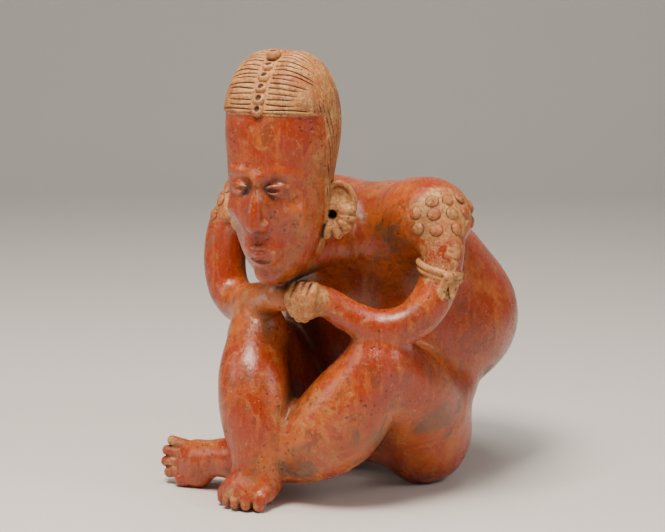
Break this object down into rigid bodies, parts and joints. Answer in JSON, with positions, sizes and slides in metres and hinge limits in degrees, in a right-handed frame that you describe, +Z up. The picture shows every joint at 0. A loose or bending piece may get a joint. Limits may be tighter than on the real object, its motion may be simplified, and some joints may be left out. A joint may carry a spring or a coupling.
{
  "type": "seated figurine",
  "caption": "Seated, hunched pottery figure with its forearms on its knees and its chin over its hands, for display on a flat surface.",
  "frame": {"origin": "centre of the bounding box, on the ground plane that the figure sits on", "axes": "+Z up, the figure faces -Y, +X is the figure's own left"},
  "size_m": [0.2424, 0.305, 0.3568],
  "materials": {
    "burnished_clay": "burnished red slip over buff clay, worn to bare buff on the hair, ears, pellets, hands and toes, with dark mineral specks and grey fire clouds"
  },
  "bodies": {
    "root": {"figurine": "burnished_clay"}
  },
  "joints": []
}
